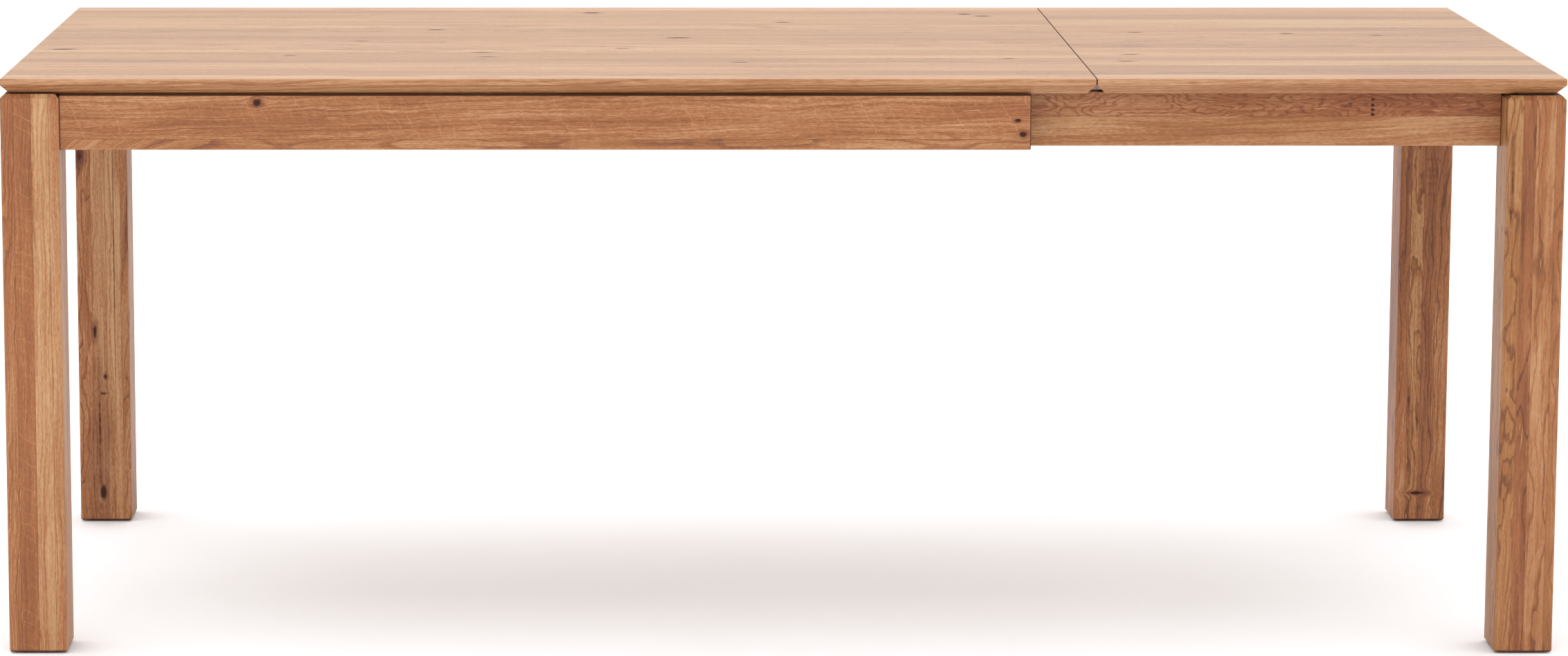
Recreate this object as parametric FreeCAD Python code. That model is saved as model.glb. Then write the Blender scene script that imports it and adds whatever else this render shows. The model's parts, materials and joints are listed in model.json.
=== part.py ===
import FreeCAD, Part
import math
import os

Vector = FreeCAD.Vector

# An oak dining table that grows at one end.  The left legs, the outer aprons and the main
# top stand still.  The right legs, the inner aprons and two cross rails are one frame that
# pulls out on ball guides between the aprons, and a loose leaf is laid on it.
# Millimetres.  +X runs along the table to the end that pulls out, -Y is the front, +Z is up.
# The origin is on the floor under the middle of the extended table.

# ---- driving dimensions: top and leaf ----
main_length = 1400.0
leaf_length = 600.0
table_depth = 900.0
table_height = 750.0
top_thickness = 20.0
under_bevel = 12.0
arris_radius = 2.0

# ---- driving dimensions: legs and feet ----
leg_side = 75.0
leg_edge_radius = 3.0
leg_top_chamfer = 5.5
foot_chamfer = 2.5
glide_radius = 16.0
glide_height = 2.0

# ---- driving dimensions: aprons and rails ----
apron_thickness = 26.0
apron_height = 72.0
apron_inset = 5.0
apron_edge_radius = 1.5
shadow_gap = 2.5
shadow_gap_depth = 10.0
outer_apron_clear = 8.0
frame_drop = 2.0
rail_thickness = 26.0
middle_rail_from_seam = 40.0
dowel_radius = 5.0
dowel_length = 36.0
dowel_from_edge = 17.0

# ---- driving dimensions: corner blocks and leg bolts ----
block_height = 46.0
block_cover_left = 18.0
block_cover_right = 32.0
bolt_radius = 4.0
bolt_grip = 42.0
bolt_head_across = 13.0
bolt_head_height = 5.5
washer_radius = 10.0
washer_thickness = 2.0

# ---- driving dimensions: ball guides ----
guide_depth = 14.0
guide_height = 45.0
guide_rise = 30.0
sheet = 1.5
cage_sheet = 0.8
cage_web_gap = 0.5
runner_lip_gap = 1.2
ball_radius = 2.2
ball_gap = 0.3
race_depth = 0.6
ball_seat = 8.0
balls_per_row = 5
guide_from_block = 7.0
guide_end_margin = 3.0
stop_length = 3.0
stop_edge = 0.7
stop_gap = 0.3
cage_margin = 3.0

# ---- driving dimensions: stiffening bars, brackets, screws, pads ----
bar_width = 30.0
bar_thickness = 5.0
bar_end_inset = 80.0
bar_from_board_end = 110.0
bars_per_top = 3
bars_per_leaf = 2
bracket_leg = 12.0
bracket_width = 24.0
bracket_thickness = 2.0
bracket_end_inset = 140.0
brackets_per_side = 3
end_bracket_spread = 420.0
screw_radius = 1.8
screw_head_radius = 3.4
screw_head_height = 1.6
screw_length = 12.0
screw_end_inset = 40.0
channel_screws = 3
runner_screws = 3
bar_screws = 3
pad_gap = 0.3
pad_length = 40.0
pad_width = 16.0
pads_per_apron = 3
hole_clearance = 0.15
small_sides = 8
round_sides = 24

# ---- places worked out from them ----
travel = leaf_length
x_left = -(main_length + leaf_length) / 2
x_right = (main_length + leaf_length) / 2
x_seam = x_left + main_length
y_front = -table_depth / 2
underside = table_height - top_thickness
frame_top = underside - frame_drop
apron_bottom = underside - apron_height
outer_apron_y = y_front + apron_inset
guide_y = outer_apron_y + apron_thickness
inner_apron_y = guide_y + guide_depth
inner_face_y = inner_apron_y + apron_thickness
leg_inner_y = y_front + leg_side
left_leg_inner = x_left + leg_side
right_leg_inner = x_right - leg_side
left_end_face = x_left + apron_inset + apron_thickness
right_end_face = x_right - apron_inset - apron_thickness
outer_apron_end = x_seam - leg_side - outer_apron_clear
apron_middle = apron_bottom + apron_height / 2

block_left = (left_leg_inner - left_end_face) + (leg_inner_y - guide_y) + block_cover_left
block_right = (right_end_face - right_leg_inner) + (leg_inner_y - inner_face_y) + block_cover_right
channel_start = left_end_face + block_left + guide_from_block
channel_end = outer_apron_end - guide_end_margin
runner_start = channel_start + stop_edge + stop_length + stop_gap + travel
runner_end = channel_end - stop_edge - stop_length - stop_gap
cage_start = runner_start + cage_margin
cage_end = runner_end - travel / 2 - cage_margin
guide_z = apron_bottom + guide_rise
race_radius = ball_radius + ball_gap
ball_rise = guide_height / 2 - sheet - race_radius
bar_length = table_depth - 2 * bar_end_inset


# ---- small helpers ----
def block(x, y, z):
    """Box from three (low, high) pairs."""
    return Part.makeBox(x[1] - x[0], y[1] - y[0], z[1] - z[0], Vector(x[0], y[0], z[0]))


def mirrored(shape):
    """The same piece at the back of the table."""
    return shape.mirror(Vector(0, 0, 0), Vector(0, 1, 0))


def front_and_back(shapes):
    return Part.makeCompound(shapes + [mirrored(one) for one in shapes])


def spread(first, last, count):
    return [first + (last - first) * i / (count - 1) for i in range(count)]


def at_level(shape, z):
    return [e for e in shape.Edges if all(abs(v.Z - z) < 1e-6 for v in e.Vertexes)]


def along_x(shape, z):
    """Long edges at height z that run with the table."""
    return [e for e in at_level(shape, z) if abs(e.Vertexes[0].Y - e.Vertexes[-1].Y) < 1e-6]


def along_y(shape, z):
    return [e for e in at_level(shape, z) if abs(e.Vertexes[0].X - e.Vertexes[-1].X) < 1e-6]


def rounded_prism(x, y, z, radius):
    """Box whose four upright edges are rounded."""
    box = block(x, y, z)
    upright = [e for e in box.Edges if abs(e.Vertexes[0].Z - e.Vertexes[-1].Z) > 1e-6]
    return box.makeFillet(radius, upright)


def placed(shape, point, direction):
    """A shape drawn at the origin along +Z, moved to a point and turned to a direction."""
    turn = FreeCAD.Rotation(Vector(0, 0, 1), direction)
    copy = shape.copy()
    copy.Placement = FreeCAD.Placement(point, turn)
    return copy


def cut_all(shape, tools):
    return shape.cut(Part.makeCompound(tools)) if tools else shape


def section(points, x_start, x_end):
    """Closed outline of (y, z) points, drawn out along X."""
    face = polygon_face([Vector(x_start, y, z) for y, z in points])
    return face.extrude(Vector(x_end - x_start, 0, 0))


def polygon_face(points):
    return Part.Face(Part.makePolygon(points + points[:1]))


def turned(levels, sides=small_sides):
    """Small round part about +Z with flat sides, through (height, radius) levels."""
    steps = [2 * math.pi * i / sides for i in range(sides)]
    rings = [[Vector(r * math.cos(a), r * math.sin(a), z) for a in steps] for z, r in levels]
    faces = [polygon_face(rings[i]) for i in (0, -1) if levels[i][1] > 0]
    for low, high in zip(rings, rings[1:]):
        for i in range(sides):
            four = [low[i - 1], low[i], high[i], high[i - 1]]
            faces.append(polygon_face([p for k, p in enumerate(four) if not p.isEqual(four[k - 1], 1e-9)]))
    shell = Part.makeShell(faces)
    shell.sewShape()
    solid = Part.Solid(shell)
    return solid if solid.Volume > 0 else solid.reversed()


# ---- fasteners: each is drawn with its head below z = 0 and its shank above ----
def pan_screw():
    return turned([(-screw_head_height, screw_head_radius), (0, screw_head_radius),
                   (0, screw_radius), (screw_length, screw_radius)])


def pilot_hole():
    return turned([(0, screw_radius + hole_clearance),
                   (screw_length + hole_clearance, screw_radius + hole_clearance)])


def flat_screw(head_depth, clearance=0.0):
    """Countersunk screw, flush with z = 0."""
    wide, thin = screw_head_radius + clearance, screw_radius + clearance
    return turned([(0, wide), (head_depth, thin), (screw_length + clearance, thin)])


def fasteners(shape, places):
    return [placed(shape, point, direction) for point, direction in places]


# ---- top, leaf and their stiffening bars ----
def board(x):
    """Solid wood panel: rounded upper arris and a long 45 degree bevel under every edge."""
    span_y, span_z = (y_front, -y_front), (underside, table_height)
    panel = block(x, span_y, span_z)
    panel = panel.makeChamfer(under_bevel, at_level(panel, underside))
    panel = panel.makeFillet(arris_radius, at_level(panel, table_height))
    return panel.common(rounded_prism(x, span_y, span_z, arris_radius))


def bar_centres(x, count):
    return spread(x[0] + bar_from_board_end, x[1] - bar_from_board_end, count)


def bar_box(centre, clearance):
    """Flat bar let in across the grain, flush with the underside."""
    half, reach = bar_width / 2 + clearance, bar_length / 2 + clearance
    return block((centre - half, centre + half), (-reach, reach),
                 (underside, underside + bar_thickness + clearance))


def bar_screw_places(centres):
    rows = spread(-bar_length / 2 + screw_end_inset, bar_length / 2 - screw_end_inset, bar_screws)
    return [(Vector(x, y, underside), Vector(0, 0, 1)) for x in centres for y in rows]


def stiffened_board(x, count):
    """Panel with its bars and their screws: three shapes."""
    centres = bar_centres(x, count)
    places = bar_screw_places(centres)
    holes = fasteners(flat_screw(bar_thickness / 2, hole_clearance), places)
    panel = cut_all(board(x), [bar_box(c, hole_clearance) for c in centres] + holes)
    bars = cut_all(Part.makeCompound([bar_box(c, 0.0) for c in centres]), holes)
    screws = Part.makeCompound(fasteners(flat_screw(bar_thickness / 2), places))
    return panel, bars, screws


# ---- legs and feet ----
def leg(x_low, top):
    """Square front leg, chamfered at the top and the foot."""
    x, y, z = (x_low, x_low + leg_side), (y_front, leg_inner_y), (glide_height, top)
    post = block(x, y, z)
    post = post.makeChamfer(leg_top_chamfer, at_level(post, top))
    post = post.makeChamfer(foot_chamfer, at_level(post, glide_height))
    return post.common(rounded_prism(x, y, z, leg_edge_radius))


def glide(x_low):
    disc = turned([(0, glide_radius), (glide_height, glide_radius)], round_sides)
    disc.translate(Vector(x_low + leg_side / 2, y_front + leg_side / 2, 0))
    return disc


# ---- aprons and rails ----
def apron(x, y, top, free_end=False):
    """Apron along X, its lower edges eased, and its +X end too where that end is free."""
    plank = block(x, y, (apron_bottom, top))
    eased = along_x(plank, apron_bottom)
    if free_end:
        eased += [e for e in plank.Edges if all(abs(v.X - x[1]) < 1e-6 for v in e.Vertexes)]
    return plank.makeFillet(apron_edge_radius, eased)


def cross_apron(x, y, top):
    """Apron or rail across the table."""
    plank = block(x, y, (apron_bottom, top))
    return plank.makeFillet(apron_edge_radius, along_y(plank, apron_bottom))


def rebated(plank, x, y):
    """The plank with its outer top edge cut back, which leaves a dark line under the main top."""
    return plank.cut(block(x, y, (underside - shadow_gap, underside)))


def dowel_pair(x, y, direction, top):
    """Two dowels, centred on the joint at (x, y)."""
    levels = (apron_bottom + dowel_from_edge, top - dowel_from_edge)
    start = direction * (-dowel_length / 2)
    return [(Vector(x, y, z) + start, direction) for z in levels]


def dowel(clearance=0.0):
    radius = dowel_radius + clearance
    return turned([(0, radius), (dowel_length + clearance, radius)])


# ---- corner blocks, bolted through into the legs ----
def corner(end_face, side_face, inward):
    """Corner of the frame where two apron faces meet, and the way in along X."""
    return Vector(end_face, side_face, apron_middle), inward


def corner_block(place, reach, leg_x):
    """Three-sided block in a front corner, notched round the leg."""
    point, inward = place
    low = point.z - block_height / 2
    ring = [Vector(point.x, point.y, low), Vector(point.x + inward * reach, point.y, low),
            Vector(point.x, point.y + reach, low)]
    wedge = polygon_face(ring).extrude(Vector(0, 0, block_height))
    post = block((leg_x, leg_x + leg_side), (y_front, leg_inner_y), (low, low + block_height))
    return wedge.cut(post)


def bolt_place(place, reach, leg_corner_x):
    """Where the bolt's head bears on the block, and its way into the leg's inner edge."""
    point, inward = place
    into_leg = Vector(-inward, -1, 0).normalize()
    cover = reach - abs(leg_corner_x - point.x) - (leg_inner_y - point.y)
    edge = Vector(leg_corner_x, leg_inner_y, point.z)
    return edge - into_leg * (cover / math.sqrt(2)), into_leg, cover / math.sqrt(2)


def bolt(cover, clearance=0.0):
    """Hex lag bolt whose shank runs along +Z from under its washer."""
    radius = bolt_radius + clearance
    shank = turned([(-washer_thickness, radius), (cover + bolt_grip + clearance, radius)])
    if clearance:
        return shank
    corner_radius = bolt_head_across / math.sqrt(3)
    return shank.fuse(turned([(-washer_thickness - bolt_head_height, corner_radius),
                              (-washer_thickness, corner_radius)], 6))


def washer():
    disc = turned([(-washer_thickness, washer_radius), (0, washer_radius)], 2 * small_sides)
    return disc.cut(bolt(0.0, hole_clearance))


# ---- ball guides, one between each outer and inner apron ----
def race(rise):
    """Room for one row of balls along the guide."""
    start = Vector(channel_start - travel, guide_y + ball_seat, guide_z + rise)
    return Part.makeCylinder(race_radius, channel_end - channel_start + 2 * travel, start, Vector(1, 0, 0))


def c_section(web, lip, outer, inner, x_start, x_end):
    """Channel: its web lies between two depths, and its flanges reach from there to the lip."""
    web_out, web_in = guide_y + web[0], guide_y + web[1]
    tip = guide_y + lip
    points = [(web_out, -outer), (tip, -outer), (tip, -inner), (web_in, -inner),
              (web_in, inner), (tip, inner), (tip, outer), (web_out, outer)]
    return section([(y, guide_z + z) for y, z in points], x_start, x_end)


def channel_screw_places():
    inset = screw_end_inset
    return [(Vector(x, guide_y + sheet, guide_z), Vector(0, -1, 0))
            for x in spread(channel_start + inset, channel_end - inset, channel_screws)]


def guide_channel():
    """Outer member on the fixed apron: a C with a ball race in each flange."""
    inner = ball_rise + race_radius - race_depth
    lip = guide_depth - sheet
    body = c_section((0.0, sheet), lip, guide_height / 2, inner, channel_start, channel_end)
    holes = fasteners(flat_screw(sheet, hole_clearance), channel_screw_places())
    return cut_all(body, [race(ball_rise), race(-ball_rise)] + holes)


def guide_runner():
    """Inner member on the pull-out apron: a smaller C facing the other way."""
    outer = ball_rise - race_radius + race_depth
    inner = outer - race_depth - sheet
    lip = sheet + cage_web_gap + cage_sheet + runner_lip_gap
    body = c_section((guide_depth, guide_depth - sheet), lip, outer, inner, runner_start, runner_end)
    holes = fasteners(pilot_hole(), runner_screw_places())
    return cut_all(body, [race(ball_rise), race(-ball_rise)] + holes)


def runner_screw_places():
    inset = screw_end_inset
    return [(Vector(x, inner_apron_y - sheet, guide_z), Vector(0, 1, 0))
            for x in spread(runner_start + inset, runner_end - inset, runner_screws)]


def ball_places():
    inset = 4 * ball_radius
    return [Vector(x, guide_y + ball_seat, guide_z + rise)
            for x in spread(cage_start + inset, cage_end - inset, balls_per_row)
            for rise in (ball_rise, -ball_rise)]


def ball_cage():
    """Retainer that holds both rows of balls, bent round the runner's flanges."""
    web_low = sheet + cage_web_gap
    outer, inner = ball_rise + cage_sheet / 2, ball_rise - cage_sheet / 2
    arm = ball_seat + race_radius
    strip = c_section((web_low, web_low + cage_sheet), arm, outer, inner, cage_start, cage_end)
    radius = ball_radius + hole_clearance
    pocket = turned([(-cage_sheet, radius), (cage_sheet, radius)])
    return cut_all(strip, [placed(pocket, centre, Vector(0, 0, 1)) for centre in ball_places()])


def ball():
    """Steel ball, drawn with few faces."""
    steps = [math.pi * i / (small_sides / 2) for i in range(small_sides // 2 + 1)]
    levels = [(-ball_radius * math.cos(a), ball_radius * math.sin(a)) for a in steps]
    return turned([(z, r if r > 1e-9 else 0.0) for z, r in levels])


def guide_stops():
    """Tabs in the channel's two ends that the runner meets."""
    half = ball_rise - race_radius
    y = (guide_y + sheet, guide_y + guide_depth - 2 * sheet)
    z = (guide_z - half, guide_z + half)
    right, left = channel_end - stop_edge, channel_start + stop_edge
    return [block((right - stop_length, right), y, z), block((left, left + stop_length), y, z)]


# ---- angle brackets that hold the main top down ----
def side_bracket_xs():
    return spread(left_leg_inner + bracket_end_inset, outer_apron_end - bracket_end_inset / 2,
                  brackets_per_side)


def angle_bracket():
    """L of steel: one leg up the apron's face, one under the top, drawn at the origin."""
    upright = block((-bracket_width / 2, bracket_width / 2), (0, bracket_thickness), (-bracket_leg, 0))
    flat = block((-bracket_width / 2, bracket_width / 2), (0, bracket_leg), (-bracket_thickness, 0))
    return upright.fuse(flat).removeSplitter()


def bracket_screw_offsets():
    """A screw up into the top and one into the apron, from the bracket's own corner."""
    middle = (bracket_leg + bracket_thickness) / 2
    side = bracket_width / 4
    return [(Vector(side, middle, -bracket_thickness), Vector(0, 0, 1)),
            (Vector(-side, bracket_thickness, -middle), Vector(0, -1, 0))]


def bracket_frames():
    """Every bracket's place: the front apron's, the back apron's and the end apron's."""
    front = [FreeCAD.Placement(Vector(x, guide_y, underside), FreeCAD.Rotation()) for x in side_bracket_xs()]
    about_z = Vector(0, 0, 1)
    back = [FreeCAD.Placement(Vector(x, -guide_y, underside), FreeCAD.Rotation(about_z, 180))
            for x in side_bracket_xs()]
    end = [FreeCAD.Placement(Vector(left_end_face, y, underside), FreeCAD.Rotation(about_z, -90))
           for y in (-end_bracket_spread / 2, end_bracket_spread / 2)]
    return front + back + end


def bracket_screw_places():
    places = []
    for frame in bracket_frames():
        for point, direction in bracket_screw_offsets():
            places.append((frame.multVec(point), frame.Rotation.multVec(direction)))
    return places


def angle_brackets(holes):
    shapes = []
    for frame in bracket_frames():
        shape = angle_bracket()
        shape.Placement = frame
        shapes.append(shape)
    return cut_all(Part.makeCompound(shapes), holes)


# ---- felt pads that carry the leaf ----
def pad(x, y, length, width):
    return block((x - length / 2, x + length / 2), (y - width / 2, y + width / 2),
                 (frame_top, underside - pad_gap))


def leaf_pads():
    apron_line = (inner_apron_y + inner_face_y) / 2
    xs = spread(x_seam + pad_length, right_leg_inner - pad_length, pads_per_apron)
    leg_line = y_front + leg_side / 2
    pads = [pad(x, apron_line, pad_length, pad_width) for x in xs]
    pads.append(pad(right_leg_inner + leg_side / 2, leg_line, pad_length, pad_length))
    return front_and_back(pads)


# ---- assembly ----
def fixed_frame():
    """Left legs, outer aprons, end apron and what joins them."""
    along, across = Vector(1, 0, 0), Vector(0, 1, 0)
    outer_line, end_line = outer_apron_y + apron_thickness / 2, left_end_face - apron_thickness / 2
    dowels_x = dowel_pair(left_leg_inner, outer_line, along, underside)
    dowels_y = dowel_pair(end_line, leg_inner_y, across, underside)
    dowel_holes = fasteners(dowel(hole_clearance), dowels_x + dowels_y)
    place = corner(left_end_face, guide_y, 1)
    point, into_leg, cover = bolt_place(place, block_left, left_leg_inner)
    bolt_hole = placed(bolt(cover, hole_clearance), point, into_leg)
    bracket_holes = fasteners(pilot_hole(), bracket_screw_places())
    channel_holes = fasteners(flat_screw(sheet, hole_clearance), channel_screw_places())

    post = cut_all(leg(x_left, underside), dowel_holes + [bolt_hole])
    side_x = (left_leg_inner, outer_apron_end)
    side = apron(side_x, (outer_apron_y, guide_y), underside, free_end=True)
    side = rebated(side, side_x, (outer_apron_y, outer_apron_y + shadow_gap_depth))
    side_front = cut_all(side, dowel_holes + channel_holes + bracket_holes)
    side_back = cut_all(mirrored(cut_all(side, dowel_holes + channel_holes)), bracket_holes)
    end_outer, end_y = left_end_face - apron_thickness, (leg_inner_y, -leg_inner_y)
    end = cross_apron((end_outer, left_end_face), end_y, underside)
    end = rebated(end, (end_outer, end_outer + shadow_gap_depth), end_y)
    end = cut_all(end, dowel_holes + [mirrored(one) for one in dowel_holes] + bracket_holes)
    wedge = cut_all(corner_block(place, block_left, x_left), [bolt_hole])
    channel = guide_channel()

    panel, bars, bar_screw_group = stiffened_board((x_left, x_seam), bars_per_top)
    return {
        "main_top": cut_all(panel, bracket_holes),
        "top_stiffener_bars": bars,
        "top_stiffener_screws": bar_screw_group,
        "leg_front_left": post,
        "leg_back_left": mirrored(post),
        "foot_glides_left": front_and_back([glide(x_left)]),
        "outer_apron_front": side_front,
        "outer_apron_back": side_back,
        "end_apron_left": end,
        "apron_dowels_left": front_and_back(fasteners(dowel(), dowels_x + dowels_y)),
        "corner_block_front_left": wedge,
        "corner_block_back_left": mirrored(wedge),
        "leg_bolts_left": front_and_back([placed(bolt(cover), point, into_leg)]),
        "leg_washers_left": front_and_back([placed(washer(), point, into_leg)]),
        "guide_channel_front": channel,
        "guide_channel_back": mirrored(channel),
        "guide_stops": front_and_back(guide_stops()),
        "guide_channel_screws": front_and_back(fasteners(flat_screw(sheet), channel_screw_places())),
        "top_angle_brackets": angle_brackets(bracket_holes),
        "top_angle_screws": Part.makeCompound(fasteners(pan_screw(), bracket_screw_places())),
    }


def pull_out_frame():
    """Right legs, inner aprons, cross rails and what joins them."""
    along, across = Vector(1, 0, 0), Vector(0, 1, 0)
    inner_line, end_line = inner_apron_y + apron_thickness / 2, right_end_face + apron_thickness / 2
    rail_starts = (runner_start, x_seam + middle_rail_from_seam)
    dowels_x = dowel_pair(right_leg_inner, inner_line, along, frame_top)
    dowels_y = dowel_pair(end_line, leg_inner_y, across, frame_top)
    for start in rail_starts:
        dowels_y += dowel_pair(start + rail_thickness / 2, inner_face_y, across, frame_top)
    dowel_holes = fasteners(dowel(hole_clearance), dowels_x + dowels_y)
    both_ends = dowel_holes + [mirrored(one) for one in dowel_holes]
    place = corner(right_end_face, inner_face_y, -1)
    point, into_leg, cover = bolt_place(place, block_right, right_leg_inner)
    bolt_hole = placed(bolt(cover, hole_clearance), point, into_leg)
    runner_holes = fasteners(pilot_hole(), runner_screw_places())

    post = cut_all(leg(right_leg_inner, frame_top), dowel_holes + [bolt_hole])
    side = apron((runner_start, right_leg_inner), (inner_apron_y, inner_face_y), frame_top)
    side = cut_all(side, dowel_holes + runner_holes + [bolt_hole])
    end = cross_apron((right_end_face, right_end_face + apron_thickness), (leg_inner_y, -leg_inner_y), frame_top)
    rails = [cross_apron((start, start + rail_thickness), (inner_face_y, -inner_face_y), frame_top)
             for start in rail_starts]
    wedge = cut_all(corner_block(place, block_right, right_leg_inner), [bolt_hole])
    runner = guide_runner()
    return {
        "leg_front_right": post,
        "leg_back_right": mirrored(post),
        "foot_glides_right": front_and_back([glide(right_leg_inner)]),
        "inner_apron_front": side,
        "inner_apron_back": mirrored(side),
        "end_apron_right": cut_all(end, both_ends),
        "cross_rail_inner_end": cut_all(rails[0], both_ends),
        "cross_rail_middle": cut_all(rails[1], both_ends),
        "frame_dowels_right": front_and_back(fasteners(dowel(), dowels_x + dowels_y)),
        "corner_block_front_right": wedge,
        "corner_block_back_right": mirrored(wedge),
        "leg_bolts_right": front_and_back([placed(bolt(cover), point, into_leg)]),
        "leg_washers_right": front_and_back([placed(washer(), point, into_leg)]),
        "guide_runner_front": runner,
        "guide_runner_back": mirrored(runner),
        "guide_runner_screws": front_and_back(fasteners(pan_screw(), runner_screw_places())),
        "leaf_support_pads": leaf_pads(),
    }


def guide_cages():
    """Ball retainers, which travel half as far as the frame."""
    cage = ball_cage()
    balls = [placed(ball(), centre, Vector(0, 0, 1)) for centre in ball_places()]
    return {
        "ball_cage_front": cage,
        "ball_cage_back": mirrored(cage),
        "guide_balls": front_and_back(balls),
    }


def loose_leaf():
    panel, bars, screws = stiffened_board((x_seam, x_right), bars_per_leaf)
    return {"leaf": panel, "leaf_stiffener_bars": bars, "leaf_stiffener_screws": screws}


os.makedirs("parts", exist_ok=True)
for pieces in (fixed_frame(), pull_out_frame(), guide_cages(), loose_leaf()):
    for node, shape in pieces.items():
        shape.exportStep("parts/" + node + ".step")
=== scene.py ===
import json
import math
import random
from collections import namedtuple
from functools import partial

import bmesh
import bpy
import numpy as np
from mathutils import Matrix, Vector


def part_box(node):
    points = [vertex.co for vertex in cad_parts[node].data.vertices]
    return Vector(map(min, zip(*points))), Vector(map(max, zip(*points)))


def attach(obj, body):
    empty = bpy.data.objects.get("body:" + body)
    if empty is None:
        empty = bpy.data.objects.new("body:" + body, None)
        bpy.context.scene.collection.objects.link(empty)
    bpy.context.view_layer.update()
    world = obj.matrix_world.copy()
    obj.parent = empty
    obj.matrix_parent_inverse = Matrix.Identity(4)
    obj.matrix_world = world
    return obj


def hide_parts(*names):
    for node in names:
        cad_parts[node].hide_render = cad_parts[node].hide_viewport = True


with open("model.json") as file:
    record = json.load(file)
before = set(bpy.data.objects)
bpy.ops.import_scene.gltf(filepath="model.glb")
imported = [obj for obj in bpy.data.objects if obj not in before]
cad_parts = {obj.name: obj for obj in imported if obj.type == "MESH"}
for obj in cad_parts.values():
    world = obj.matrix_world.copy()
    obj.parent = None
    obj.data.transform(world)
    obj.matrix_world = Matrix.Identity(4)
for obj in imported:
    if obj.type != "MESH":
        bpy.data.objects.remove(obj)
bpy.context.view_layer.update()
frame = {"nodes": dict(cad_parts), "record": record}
MM = 0.001

# ---------------------------------------------------------------- camera and light values
# The camera looks down a little, from left of the table's middle.
CAMERA_PLACE = (-0.2038, -6.5174, 1.4595)
CAMERA_PITCH = 8.147  # degrees below level
CAMERA_LENS = 109.98
CAMERA_SHIFT = (0.1023, -0.08)

LIGHTS = (  # name, place, aim, size in metres, watts
    ("overhead", (0.0, 0.4, 4.5), (0.0, 0.0, 0.0), (7.0, 6.0), 120.0),
    ("front", (-1.5, -5.5, 3.0), (0.0, 0.0, 0.2), (4.0, 2.5), 40.0))
WORLD_COLOUR = (1.0, 0.985, 0.92, 1.0)
WORLD_STRENGTH = 1.35
FLOOR_SIZE = 60.0
FLOOR_COLOURS = ((0.885, 0.900, 0.960), (0.905, 0.920, 0.985))


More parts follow.
